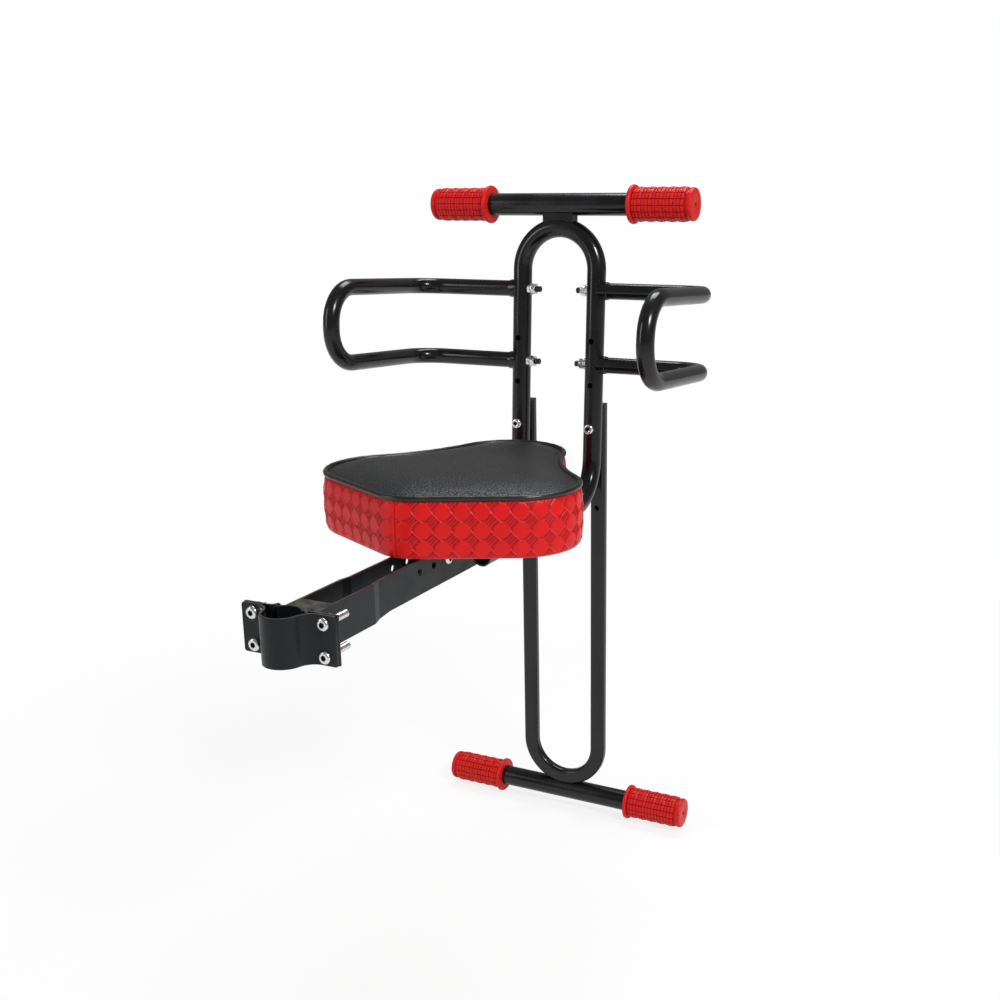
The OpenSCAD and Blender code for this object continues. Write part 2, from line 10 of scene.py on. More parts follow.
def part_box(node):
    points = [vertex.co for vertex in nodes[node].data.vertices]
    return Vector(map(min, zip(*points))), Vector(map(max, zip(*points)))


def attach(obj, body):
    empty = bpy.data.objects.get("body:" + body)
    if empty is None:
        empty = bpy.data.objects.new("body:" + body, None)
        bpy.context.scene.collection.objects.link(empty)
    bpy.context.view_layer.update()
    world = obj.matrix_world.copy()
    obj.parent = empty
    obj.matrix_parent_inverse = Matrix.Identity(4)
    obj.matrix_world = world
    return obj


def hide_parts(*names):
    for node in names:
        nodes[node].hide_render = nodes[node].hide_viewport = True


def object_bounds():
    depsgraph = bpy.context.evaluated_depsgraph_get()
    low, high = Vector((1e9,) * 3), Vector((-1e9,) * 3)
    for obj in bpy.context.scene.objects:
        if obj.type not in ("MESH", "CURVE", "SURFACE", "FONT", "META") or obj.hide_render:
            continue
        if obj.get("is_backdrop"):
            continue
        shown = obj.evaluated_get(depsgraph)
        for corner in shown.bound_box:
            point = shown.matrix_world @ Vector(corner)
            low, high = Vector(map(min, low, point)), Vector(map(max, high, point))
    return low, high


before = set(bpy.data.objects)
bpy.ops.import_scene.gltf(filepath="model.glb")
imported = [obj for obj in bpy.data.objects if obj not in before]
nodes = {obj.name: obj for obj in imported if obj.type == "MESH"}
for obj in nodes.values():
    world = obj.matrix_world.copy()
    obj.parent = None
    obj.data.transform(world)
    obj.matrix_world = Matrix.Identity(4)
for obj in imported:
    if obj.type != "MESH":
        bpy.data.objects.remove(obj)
cad_low, cad_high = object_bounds()
MM = 0.001

# ---- Tube frame -----------------------------------------------------------
# Two bent steel hoops, a handle bar and a foot bar, in gloss black enamel. The
# enamel lies a little uneven, like orange peel, and is duller where hands and
# dust have been.


class Wire:
    """One socket of a material. Sums and products of wires add Math nodes."""

    def __init__(self, tree, socket=None):
        self.tree = tree
        self.socket = socket

    def node(self, kind, settings=None, sockets=None, out=0):
        made = self.tree.nodes.new(kind)
        for name, value in (settings or {}).items():
            if name == "stops":
                ramp = made.color_ramp.elements
                while len(ramp) < len(value):
                    ramp.new(0.5)
                for stop, (place, shade) in zip(ramp, value):
                    stop.position = place
                    stop.color = (*shade, 1) if hasattr(shade, "__len__") else (shade,) * 3 + (1,)
            else:
                setattr(made, name, value)
        for name, value in (sockets or {}).items():
            if isinstance(value, Wire):
                self.tree.links.new(value.socket, made.inputs[name])
            else:
                made.inputs[name].default_value = value
        return Wire(self.tree, made.outputs[out])

    def sum(self, operation, *values):
        return self.node("ShaderNodeMath", {"operation": operation}, dict(enumerate(values)))

    def __add__(self, other):
        return self.sum("ADD", self, other)

    def __sub__(self, other):
        return self.sum("SUBTRACT", self, other)

    def __rsub__(self, other):
        return self.sum("SUBTRACT", other, self)

    def __mul__(self, other):
        return self.sum("MULTIPLY", self, other)

    __radd__ = __add__
    __rmul__ = __mul__

    def step(self, low, high):
        """0 below low, 1 above high, smooth in between."""
        return self.node(
            "ShaderNodeMapRange",
            {"interpolation_type": "SMOOTHSTEP"},
            {"Value": self, "From Min": low, "From Max": high},
        )

    def noise(self, size_mm, detail=2.0, rough=0.5):
        """Soft noise whose lumps are about size_mm wide."""
        return self.node(
            "ShaderNodeTexNoise",
            {},
            {"Vector": self, "Scale": 1 / (size_mm * MM), "Detail": detail, "Roughness": rough},
        )

    def cells(self, size_mm, feature="F1", out=0):
        return self.node(
            "ShaderNodeTexVoronoi",
            {"feature": feature},
            {"Vector": self, "Scale": 1 / (size_mm * MM)},
            out,
        )

    def between(self, a, b):
        """Colour a where this wire is 0 and b where it is 1."""
        return self.node(
            "ShaderNodeMix",
            {"data_type": "RGBA"},
            {0: self, 6: a if isinstance(a, Wire) else (*a, 1), 7: b if isinstance(b, Wire) else (*b, 1)},
            2,
        )

    def bump(self, height_mm, strength=1.0):
        """A normal that is pushed by this wire, which runs from 0 to 1."""
        return self.node(
            "ShaderNodeBump",
            {},
            {"Height": self, "Distance": height_mm * MM, "Strength": strength},
        )


def finish(name, build, **constant):
    """A material; build gets the place on the object and gives the varying sockets."""
    made = bpy.data.materials.new(name)
    made.use_nodes = True
    tree = made.node_tree
    tree.nodes.clear()
    surface = tree.nodes.new("ShaderNodeBsdfPrincipled")
    end = tree.nodes.new("ShaderNodeOutputMaterial")
    tree.links.new(surface.outputs[0], end.inputs[0])
    place = Wire(tree).node("ShaderNodeTexCoord", out=3)
    for socket, value in build(place).items():
        tree.links.new(value.socket, surface.inputs[socket])
    for socket, value in constant.items():
        surface.inputs[socket.replace("_", " ")].default_value = value
    return made


def enamel_look(place):
    dull = place.noise(38, 3).step(0.35, 0.75)
    peel = place.noise(1.6, 2)
    return {
        "Base Color": dull.between((0.0030, 0.0032, 0.0040), (0.0065, 0.0068, 0.0080)),
        "Roughness": 0.17 + 0.12 * dull,
        "Normal": peel.bump(0.035, 0.5),
    }


enamel = finish("gloss_black_enamel", enamel_look, Specular_IOR_Level=0.34, Coat_Weight=0.12, Coat_Roughness=0.06)


def dress(material, *names):
    for name in names:
        mesh = nodes[name].data
        mesh.materials.clear()
        mesh.materials.append(material)
        for face in mesh.polygons:
            face.material_index = 0


dress(
    enamel,
    "upper_hoop",
    "neck",
    "handle_bar",
    "lower_hoop",
    "foot_bar",
    "centre_tube",
    "seat_plate",
)

# ---- Post clamp and arm ---------------------------------------------------
# A strap and two plates of bent steel sheet in a satin blue-black coating.
# Every face that looks up, the top edges and the top of the web, is painted a
# paler grey in patches: partly rubbed wear, partly a painted reflection of the
# light from above.


def coating_look(place):
    facing = place.node("ShaderNodeNewGeometry", out=1)
    up = facing.node("ShaderNodeSeparateXYZ", {}, {0: facing}, 2)
    patch = place.noise(9, 3).step(0.42, 0.62)
    # Faces that look up are painted a paler grey in patches: partly wear, partly a painted reflection of the light
    # from above.
    painted_top_sheen_and_wear = up.step(0.80, 0.98) * (0.35 + 0.65 * patch)
    grain = place.noise(0.9, 3)
    worn = place.noise(26, 2).step(0.40, 0.75)
    satin = worn.between((0.0030, 0.0042, 0.0058), (0.0058, 0.0074, 0.0092))
    return {
        "Base Color": painted_top_sheen_and_wear.between(satin, (0.070, 0.062, 0.050)),
        "Roughness": 0.34 + 0.16 * worn,
        "Normal": grain.bump(0.05, 0.6),
    }


coating = finish("satin_dark_coating", coating_look, Specular_IOR_Level=0.30)
dress(coating, "arm_left", "arm_right")


def soften_edges(name, width_mm):
    """The stamped sheet's edges are broken, which lets them catch the light."""
    node = nodes[name]
    weld = node.modifiers.new("weld", "WELD")
    weld.merge_threshold = 0.002 * MM
    edge = node.modifiers.new("edge", "BEVEL")
    edge.width = width_mm * MM
    edge.segments = 2
    edge.limit_method = "ANGLE"
    edge.angle_limit = math.radians(50)
    edge.use_clamp_overlap = True
    edge.harden_normals = True


for name in ("arm_left", "arm_right"):
    soften_edges(name, 0.35)


def make_piece(name, points, faces, material, slot, *replaced, smooth_deg=35):
    mesh = bpy.data.meshes.new(name)
    mesh.from_pydata([tuple(p) for p in points], [], [tuple(f) for f in faces])
    mesh.validate()
    mesh.update()
    mesh.shade_smooth()
    mesh.set_sharp_from_angle(angle=math.radians(smooth_deg))
    mesh.materials.append(material)
    made = bpy.data.objects.new(name, mesh)
    bpy.context.scene.collection.objects.link(made)
    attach(made, "root")
    if replaced:
        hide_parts(*replaced)
    return made


def joined(*forms):
    """Several forms as one list of points and one of faces."""
    points, faces, shift = [], [], 0
    for some, around in forms:
        points.append(some)
        faces += [tuple(i + shift for i in f) for f in around]
        shift += len(some)
    return np.concatenate(points), faces


POST_R, SHEET, CLAMP_H = 14.3, 2.5, 39.5
FLARE_R, FLANGE_X, FLANGE_Y = 13.0, 42.7, 6.5


def strap_line():
    """Middle line of the front strap in plan: flange, flare, post wall, flare, flange."""
    wall, flare = POST_R + SHEET / 2, FLARE_R + SHEET / 2
    cy = FLANGE_Y - FLARE_R
    cx = math.sqrt((wall + flare) ** 2 - cy**2)
    lean = math.atan2(-cy, cx)
    half = [(x, FLANGE_Y + SHEET / 2) for x in (FLANGE_X, FLANGE_X - 0.6, FLANGE_X - 1.6, FLANGE_X - 4)]
    for a in np.linspace(math.pi / 2, math.pi - lean, 14):
        half.append((cx + flare * math.cos(a), cy + flare * math.sin(a)))
    for a in np.linspace(-lean, -math.pi / 2, 26)[1:]:
        half.append((wall * math.cos(a), wall * math.sin(a)))
    return np.array(half + [(-x, y) for x, y in half[-2::-1]])


def strip_form(line, height, corner):
    """A sheet of metal bent along a line in plan, its long edges broken."""
    along = np.gradient(line, axis=0)
    along /= np.linalg.norm(along, axis=1)[:, None]
    out = np.column_stack([along[:, 1], -along[:, 0]])
    run = np.concatenate([[0], np.cumsum(np.linalg.norm(np.diff(line, axis=0), axis=1))])
    rings, t, e = [], SHEET / 2, 0.35
    for place, way, at in zip(line, out, run):
        gap = min(at, run[-1] - at)
        drop = corner - math.sqrt(max(0, corner**2 - max(0, corner - gap) ** 2))
        z = height / 2 - drop
        front = ((t, -z + e), (t, z - e), (t - e, z), (e - t, z))
        back = ((-t, z - e), (-t, e - z), (e - t, -z), (t - e, -z))
        section = front + back
        rings.append([(*(place + way * a), b) for a, b in section])
    points, faces, n = np.array(rings).reshape(-1, 3), [], 8
    for k in range(len(rings) - 1):
        for i in range(n):
            j = (i + 1) % n
            faces.append((k * n + i, (k + 1) * n + i, (k + 1) * n + j, k * n + j))
    last = (len(rings) - 1) * n
    faces += [tuple(range(n)), tuple(range(last + n - 1, last - 1, -1))]
    return points, faces


def block_form(low, high):
    x, y, z = zip(low, high)
    points = np.array([(a, b, c) for a in x for b in y for c in z])
    return points, [(0, 1, 3, 2), (4, 6, 7, 5), (0, 4, 5, 1), (2, 3, 7, 6), (0, 2, 6, 4), (1, 5, 7, 3)]


points, faces = strip_form(strap_line(), CLAMP_H, 1.6)
make_piece("clamp_strap", points * MM, faces, coating, "clamp_paint", "clamp_front", smooth_deg=30)
wall = POST_R + SHEET / 2
sweep = np.linspace(math.radians(143), math.radians(37), 30)
cradle = strip_form(np.column_stack([wall * np.cos(sweep), wall * np.sin(sweep)]), CLAMP_H, 0.3)
WEB_LOW, WEB_HIGH = (-13.95, 15.4, 12.7), (13.95, 43.0, 15.2)
web = block_form(WEB_LOW, WEB_HIGH)
points, faces = joined(cradle, web)
make_piece("clamp_rear_wall", points * MM, faces, coating, "clamp_paint", "clamp_cradle", smooth_deg=30)

# ---- Screws, nuts and washers ---------------------------------------------
# Bright zinc plated M6 button screws with hexagon sockets, chamfered nuts and
# flat washers; the studs in the rail ends are dark and show their threads.
# The hexagon sockets are painted near black as shade.


def zinc_look(place):
    cloud = place.noise(4, 3)
    scratch = place.noise(0.35, 2)
    # Inside the key sockets the plating is painted near black: painted shade in the recesses.
    socket = place.node("ShaderNodeAttribute", {"attribute_name": "relief"}, out=2)
    plating = cloud.between((0.62, 0.63, 0.65), (0.80, 0.80, 0.79))
    return {
        "Base Color": socket.between(plating, (0.05, 0.05, 0.055)),
        "Roughness": 0.16 + 0.16 * cloud,
        "Normal": scratch.bump(0.02, 0.5),
    }


def oxide_look(place):
    cloud = place.noise(3, 3)
    return {
        "Base Color": cloud.between((0.020, 0.020, 0.022), (0.060, 0.058, 0.056)),
        "Roughness": 0.30 + 0.15 * cloud,
        "Normal": place.noise(0.4, 2).bump(0.02, 0.5),
    }


zinc = finish("bright_zinc", zinc_look, Metallic=1.0)
oxide = finish("dark_oxide", oxide_look, Metallic=0.8)
dress(zinc, "rail_washers", "leg_inserts", "rail_plugs")


def mark(made, relief):
    """A number for each point, stored as the attribute relief, which the materials read to paint shade into grooves
    and key sockets and a highlight onto strap crests.
    """
    numbers = made.data.attributes.new("relief", "FLOAT", "POINT")
    numbers.data.foreach_set("value", np.asarray(relief, dtype=np.float32))


def turned(rings, count):
    """A turned form round +Z: each ring is (height, radius), where the radius
    may be a function of the angle. The first and last rings are closed."""
    angle = np.arange(count) * 2 * math.pi / count
    points, faces = [], []
    for height, radius in rings:
        r = radius(angle) if callable(radius) else np.full(count, float(radius))
        points.append(np.stack([r * np.cos(angle), r * np.sin(angle), np.full(count, height)], 1))
    for k in range(len(rings) - 1):
        for i in range(count):
            j = (i + 1) % count
            faces.append((k * count + i, k * count + j, (k + 1) * count + j, (k + 1) * count + i))
    faces.append(tuple(range(count - 1, -1, -1)))
    last = (len(rings) - 1) * count
    faces.append(tuple(range(last, last + count)))
    return np.concatenate(points), faces


def hexagon(across):
    def radius(angle):
        return across / 2 / np.cos((angle % (math.pi / 3)) - math.pi / 6)

    return radius


def thread_rings(start, end, pitch=1.0, outer=3.0, depth=0.14):
    """Rings of a screw thread from start to end, with short runs out to both."""
    rings = []
    steps = max(2, int(round((end - start) / pitch * 6)))
    for k in range(steps + 1):
        z = start + (end - start) * k / steps
        fade = min(1.0, (z - start) / 0.8, (end - z) / 0.8 + 0.35)

        def radius(angle, z=z, fade=fade):
            turn = (z / pitch - angle / (2 * math.pi)) % 1.0
            return outer - depth * fade * np.abs(2 * turn - 1)

        rings.append((z, radius))
    return rings


SCREW_SIDES = 36
KEY_POINTS = 3 * SCREW_SIDES


def screw_form(length, plain, thread_end):
    """A button screw along +Z: socket, domed head, plain shank, thread."""
    head_r, head_h, key = 5.25, 3.2, 4.0
    dome = [
        (-head_h + 1.5 * (1 - math.cos(a)) * 1.6, 3.3 + (head_r - 3.3) * math.sin(a))
        for a in np.linspace(0, math.pi / 2, 7)
    ]
    socket = hexagon(key)
    rings = [(-head_h + 2.1, 0.05), (-head_h + 1.9, socket), (-head_h + 0.1, socket)]
    rings += [(-head_h, lambda a: hexagon(key)(a) + 0.15), (-head_h, 3.2)]
    rings += dome
    rings += [(-0.35, head_r), (0.0, head_r - 0.3), (0.0, 3.0), (plain, 3.0)]
    if thread_end > plain:
        rings += thread_rings(plain, length - 0.8)
    rings += [(length - 0.7, 2.75), (length, 2.2)]
    return turned(rings, SCREW_SIDES)


def stud_form(start, end):
    rings = [(start, 2.1), (start + 0.6, 2.72)] + thread_rings(start + 0.7, start + 13.0)
    rings += [(start + 13.2, 2.95), (end, 2.95)]
    return turned(rings, SCREW_SIDES)


def nut_form(height=5.0, across=10.0):
    """A hexagon nut along +Z, its corners turned off on both faces."""
    hexa = hexagon(across)

    def chamfer(depth):
        return lambda a: np.minimum(hexa(a), across / 2 - 0.15 + depth / math.tan(math.radians(28)))

    rings = [(0.5, 3.0), (0.0, 3.35), (0.0, across / 2 - 0.25)]
    rings += [(d, chamfer(d)) for d in (0.0, 0.18, 0.36, 0.6)]
    rings += [(height - d, chamfer(d)) for d in (0.6, 0.36, 0.18, 0.0)]
    rings += [(height, across / 2 - 0.25), (height, 3.35), (height - 0.5, 3.0)]
    return turned(rings, 72)


def sockets_of(made, copies):
    """Marks the points inside the key sockets, the first three rings of each screw, where the zinc material paints
    shade.
    """
    each = len(made.data.vertices) // copies
    mark(made, np.tile(np.arange(each) < KEY_POINTS, copies)[: len(made.data.vertices)])


def set_out(form, places, axis, spin=0.0):
    """Copies of one form at several places in millimetres, +Z turned to axis."""
    points, faces = form
    turn = Vector((0, 0, 1)).rotation_difference(Vector(axis)).to_matrix()
    turn = turn @ Matrix.Rotation(math.radians(spin), 3, "Z")
    turned_points = points @ np.array(turn).T
    all_points, all_faces = [], []
    for n, place in enumerate(places):
        shift = n * len(points)
        all_points.append((turned_points + np.array(place)) * MM)
        all_faces += [tuple(i + shift for i in f) for f in faces]
    return np.concatenate(all_points), all_faces


def box_mm(name):
    low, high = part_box(name)
    return np.array(low) / MM, np.array(high) / MM


HEAD_R = 5.25
HEAD_H = 3.2

low, high = box_mm("clamp_bolts")
clamp_places = [
    (x, low[1] + HEAD_H, z)
    for x in (low[0] + HEAD_R, high[0] - HEAD_R)
    for z in (low[2] + HEAD_R, high[2] - HEAD_R)
]
left = set_out(screw_form(17.5, 3.0, 17.5), clamp_places[:2], (0, 1, 0), 12)
right = set_out(screw_form(high[1] - low[1] - HEAD_H, 3.0, 29), clamp_places[2:], (0, 1, 0), 12)
points, faces = joined(left, right)
made = make_piece("clamp_screws", points, faces, zinc, "zinc", "clamp_bolts", smooth_deg=38)
# Marks the key sockets, where the zinc material paints shade.
short, long = len(left[0]) // 2, len(right[0]) // 2
mark(made, np.concatenate([np.arange(n) < KEY_POINTS for n in (short, short, long, long)]))

low, high = box_mm("clamp_nuts")
places = [(x, low[1], z) for x, _, z in clamp_places]
points, faces = set_out(nut_form(), places, (0, 1, 0), 10)
make_piece("clamp_hex_nuts", points, faces, zinc, "zinc", "clamp_nuts", smooth_deg=38)

low, high = box_mm("leg_bolts")
places = [(x, low[1] + HEAD_H, (low[2] + high[2]) / 2) for x in (low[0] + HEAD_R, high[0] - HEAD_R)]
points, faces = set_out(screw_form(high[1] - low[1] - HEAD_H, 8.0, 30), places, (0, 1, 0), 25)
sockets_of(make_piece("leg_screws", points, faces, zinc, "zinc", "leg_bolts", smooth_deg=38), 2)

low, high = box_mm("arm_bolts")
arm_places = [(high[0] - HEAD_H, y, (low[2] + high[2]) / 2) for y in (low[1] + HEAD_R, high[1] - HEAD_R)]
points, faces = set_out(screw_form(high[0] - low[0] - HEAD_H, 24.0, 36), arm_places, (-1, 0, 0), 8)
sockets_of(make_piece("arm_screws", points, faces, zinc, "zinc", "arm_bolts", smooth_deg=38), 2)

low, high = box_mm("arm_nuts")
places = [(high[0], y, z) for _, y, z in arm_places]
points, faces = set_out(nut_form(), places, (-1, 0, 0), 22)
make_piece("arm_hex_nuts", points, faces, zinc, "zinc", "arm_nuts", smooth_deg=38)

low, high = box_mm("seat_screws")
places = [
    (x, y, low[2] + HEAD_H)
    for x in (low[0] + HEAD_R, high[0] - HEAD_R)
    for y in (low[1] + HEAD_R, high[1] - HEAD_R)
]
points, faces = set_out(screw_form(high[2] - low[2] - HEAD_H, 3.0, 12), places, (0, 0, 1), 5)
sockets_of(make_piece("saddle_screws", points, faces, zinc, "zinc", "seat_screws", smooth_deg=38), 4)

rail_low, rail_high = box_mm("rail_studs")
nut_low, nut_high = box_mm("rail_nuts")
ends = [
    (rail_low[1] + 3, rail_low[2] + 3),
    (rail_high[1] - 3, rail_high[2] - 3),
]
leg_x = 41.4
reach = 9.5
studs, hexes = [], []
for side in (-1, 1):
    for y, z in ends:
        studs.append(set_out(stud_form(0.0, 41.0), [(side * (leg_x - reach - 12), y, z)], (side, 0, 0)))
        spin = 14 + 17 * len(hexes)
        hexes.append(set_out(nut_form(), [(side * (leg_x - reach - 1.4), y, z)], (-side, 0, 0), spin))
points, faces = joined(*studs)
make_piece("rail_threaded_studs", points, faces, oxide, "stud_dark", "rail_studs", smooth_deg=38)
points, faces = joined(*hexes)
make_piece("rail_hex_nuts", points, faces, zinc, "zinc", "rail_nuts", smooth_deg=38)

# ---- Side rails ------------------------------------------------------------
# Each rail is one round tube bent in a flat plane: out from the leg, back along
# the saddle, round, and in to the leg again. A thin collar sits at both ends.

RAIL_R = 8.0
RAIL_X = 162.5
RAIL_REACH = 165.0
SIDE_BEND = 30.0
REAR_BEND = 34.0
RAIL_TOP_Z, RAIL_LOW_Z = 217.8, 144.6
LEG_R = 9.5
LEAN = math.radians(3.35)
BEND_Y, RUN_Z, RUN_BEND = 412.8, 6.2, 45.0


def rail_path():
    """Centre line of the right-hand rail in the plane of the leaning leg."""
    drop = RUN_BEND * math.sin(LEAN)
    top, low = [(z - RUN_Z + drop) / math.cos(LEAN) for z in (RAIL_TOP_Z, RAIL_LOW_Z)]
    side_x, rear_y = RAIL_X - SIDE_BEND, RUN_BEND - RAIL_REACH
    quarter = np.linspace(0, math.pi / 2, 11)
    path = [(leg_x + LEG_R, RUN_BEND, top), (leg_x + LEG_R + 5, RUN_BEND, top)]
    path += [(x, RUN_BEND, top) for x in np.linspace(leg_x + 30, side_x - 4, 3)]
    for a in quarter:
        path.append((side_x + SIDE_BEND * math.sin(a), RUN_BEND - SIDE_BEND * (1 - math.cos(a)), top))
    path += [(RAIL_X, y, top) for y in np.linspace(RUN_BEND - SIDE_BEND - 8, rear_y + REAR_BEND + 4, 5)]
    for a in quarter:
        path.append((RAIL_X, rear_y + REAR_BEND * (1 - math.sin(a)), top - REAR_BEND * (1 - math.cos(a))))
    lower = [(x, y, top + low - z) for x, y, z in path]
    path = np.array(path + lower[::-1])
    y, z = path[:, 1], path[:, 2]
    return np.column_stack(
        [
            path[:, 0],
            BEND_Y + y * math.cos(LEAN) + z * math.sin(LEAN),
            RUN_Z - y * math.sin(LEAN) + z * math.cos(LEAN),
        ]
    )


def rail_form(side):
    path = rail_path()
    ahead = np.gradient(path, axis=0)
    ahead[0], ahead[-1] = (1, 0, 0), (-1, 0, 0)
    ahead /= np.linalg.norm(ahead, axis=1)[:, None]
    angle = np.arange(32) * 2 * math.pi / 32
    upright = np.array([0, math.sin(LEAN), math.cos(LEAN)])
    rings = []
    across = np.cross(upright, ahead[0])
    for k, (place, way) in enumerate(zip(path, ahead)):
        across = across - way * np.dot(across, way)
        across /= np.linalg.norm(across)
        other = np.cross(way, across)
        radius = RAIL_R + (1.0 if k in (0, len(path) - 1) else 0.0)
        ring = place + radius * (np.cos(angle)[:, None] * across + np.sin(angle)[:, None] * other)
        if k in (0, len(path) - 1):
            off = ring[:, 1] - place[1]
            ring[:, 0] = leg_x + np.sqrt(np.maximum(LEG_R**2 - off**2, 0)) - 0.05
            rings.append(ring)
            for out, r in ((3.0, 9.0), (3.8, 8.8), (4.3, 8.0)):
                around = r * (np.cos(angle)[:, None] * across + np.sin(angle)[:, None] * other)
                rings.append(np.array([leg_x + LEG_R + out, place[1], place[2]]) + around)
            if k:
                rings[-4:] = rings[-4:][::-1]
        elif 1 < k < len(path) - 2:
            rings.append(ring)
    points = np.concatenate(rings) * [side, 1, 1]
    faces, count = [], len(angle)
    for k in range(len(rings) - 1):
        for i in range(count):
            j = (i + 1) % count
            face = (k * count + i, k * count + j, (k + 1) * count + j, (k + 1) * count + i)
            faces.append(face if side > 0 else face[::-1])
    last = (len(rings) - 1) * count
    first_cap, last_cap = tuple(range(count - 1, -1, -1)), tuple(range(last, last + count))
    faces += [first_cap, last_cap] if side > 0 else [first_cap[::-1], last_cap[::-1]]
    return points * MM, faces


for name, side in (("rail_left", -1), ("rail_right", 1)):
    points, faces = rail_form(side)
    make_piece(name + "_bent_tube", points, faces, enamel, "frame_paint", name, smooth_deg=40)

# ---- End caps of the lower hoop -------------------------------------------
# Moulded black plastic caps pushed into the open tops of the flat tube, matt
# with a faint mould grain.


def cap_look(place):
    cloud = place.noise(6, 2)
    return {
        "Base Color": cloud.between((0.010, 0.010, 0.011), (0.018, 0.018, 0.019)),
        "Roughness": 0.52 + 0.12 * cloud,
        "Normal": place.noise(0.5, 2).bump(0.03, 0.6),
    }


cap_plastic = finish("matt_black_plastic", cap_look)
dress(cap_plastic, "hoop_plugs")

# ---- Grips ----------------------------------------------------------------
# Four red moulded grips pushed over the ends of both bars: a flange at the
# inner end, a waved body cut into small blocks, and a plain end disc.
# The grooves between the blocks get painted shade.


def rubber_look(place):
    cloud = place.noise(14, 3)
    # The grooves between the blocks are painted a darker red: painted shade in the grooves.
    raised_vs_groove_shade = place.node("ShaderNodeAttribute", {"attribute_name": "relief"}, out=2).step(0.0, 0.9)
    red = cloud.between((0.50, 0.006, 0.005), (0.63, 0.009, 0.007))
    return {
        "Base Color": raised_vs_groove_shade.between((0.29, 0.003, 0.003), red),
        "Roughness": 0.36 + 0.14 * cloud,
        "Normal": place.noise(0.7, 2).bump(0.04, 0.5),
    }


grip_rubber = finish("red_grip_rubber", rubber_look, Specular_IOR_Level=0.25)

GRIP_LEN = 66.0
GRIP_R = 16.5
GRIP_FLANGE_R = 18.75
GRIP_FLANGE_T = 4.0
GRIP_END_T = 3.4
GRIP_WAVES = 5
GRIP_ROWS = 16
BAR_R = 11.0


def grip_form():
    """A grip along +Z from its flange, as one closed skin with its bore."""
    body_end = GRIP_LEN - 7.0
    blocks = GRIP_WAVES * 3
    block = (body_end - GRIP_FLANGE_T) / blocks
    cut = ((0.0, 1.0), (0.03, 1.0), (0.08, 0.0), (0.3, -0.25), (0.5, -0.35), (0.7, -0.25), (0.92, 0.0), (0.97, 1.0))
    angle, across = [], []
    for row in range(GRIP_ROWS):
        for share, deep in cut:
            angle.append((row + share) * 2 * math.pi / GRIP_ROWS)
            across.append(deep)
    angle, across = np.array(angle), np.array(across)
    outline = [
        (0.0, BAR_R, None),
        (0.0, GRIP_FLANGE_R - 1.0, None),
        (0.35, GRIP_FLANGE_R - 0.35, None),
        (1.2, GRIP_FLANGE_R, None),
        (GRIP_FLANGE_T - 1.2, GRIP_FLANGE_R, None),
        (GRIP_FLANGE_T - 0.4, GRIP_FLANGE_R - 0.4, None),
        (GRIP_FLANGE_T, GRIP_FLANGE_R - 1.1, None),
        (GRIP_FLANGE_T + 0.1, GRIP_R - 1.4, None),
    ]
    for k in range(blocks):
        for share, deep in cut:
            u = GRIP_FLANGE_T + 0.3 + (k + share) * block * 0.99
            wave = 0.8 * (1 - abs(math.sin((k + share) * math.pi / 3)))
            outline.append((u, GRIP_R - wave, deep))
    outline += [
        (body_end + 0.1, GRIP_R - 0.9, 1.0),
        (body_end + 0.4, GRIP_R - 2.4, None),
        (body_end + 2.2, GRIP_R - 2.4, None),
        (body_end + 2.6, GRIP_R - 0.9, None),
        (body_end + 3.4, GRIP_R - 0.6, None),
        (GRIP_LEN - 1.6, GRIP_R - 0.8, None),
        (GRIP_LEN - 0.5, GRIP_R - 1.4, None),
        (GRIP_LEN, GRIP_R - 2.8, None),
        (GRIP_LEN - 0.2, GRIP_R - 6.0, None),
        (GRIP_LEN - 0.2, 2.6, None),
        (GRIP_LEN - 0.6, 2.0, None),
        (GRIP_LEN - GRIP_END_T, 2.0, None),
        (GRIP_LEN - GRIP_END_T, BAR_R, None),
    ]
    points, relief = [], []
    for u, radius, deep in outline:
        r = np.full(len(angle), radius)
        if deep is not None:
            r = r - 0.8 * np.maximum(across, deep)
        relief.append(1 - np.clip(across * 0 if deep is None else np.maximum(across, deep), 0, 1))
        points.append(np.stack([r * np.cos(angle), r * np.sin(angle), np.full(len(angle), u)], 1))
    count, rings, faces = len(angle), len(outline), []
    for k in range(rings):
        n = (k + 1) % rings
        for i in range(count):
            j = (i + 1) % count
            faces.append((k * count + i, k * count + j, n * count + j, n * count + i))
    return (np.concatenate(points), faces), np.concatenate(relief)


grip, grip_relief = grip_form()
for name in ("grip_handle_left", "grip_handle_right", "grip_foot_left", "grip_foot_right"):
    low, high = box_mm(name)
    side = 1 if name.endswith("right") else -1
    flange_x = high[0] - GRIP_LEN if side > 0 else low[0] + GRIP_LEN
    start = (flange_x, (low[1] + high[1]) / 2, (low[2] + high[2]) / 2)
    points, faces = set_out(grip, [start], (side, 0, 0), 3)
    made = make_piece(name + "_ribbed", points, faces, grip_rubber, "grip_red", name, smooth_deg=40)
    mark(made, grip_relief)

# ---- Saddle board and foam ------------------------------------------------
# A pear-shaped plywood board carries a block of foam. Only the board's
# underside shows, with its veneer grain.


def plywood_look(place):
    stretched = place.node("ShaderNodeMapping", {}, {0: place, 3: (1.0, 0.12, 1.0)})
    grain = stretched.noise(3.2, 4, 0.6)
    tone = place.noise(60, 2)
    wood = grain.step(0.3, 0.7).between((0.36, 0.23, 0.12), (0.52, 0.37, 0.21))
    return {
        "Base Color": (tone * 0.25).between(wood, (0.25, 0.15, 0.08)),
        "Roughness": 0.58 + 0.18 * grain,
        "Normal": grain.bump(0.12, 0.5),
    }


plywood = finish("plywood", plywood_look)
dress(plywood, "seat_board")

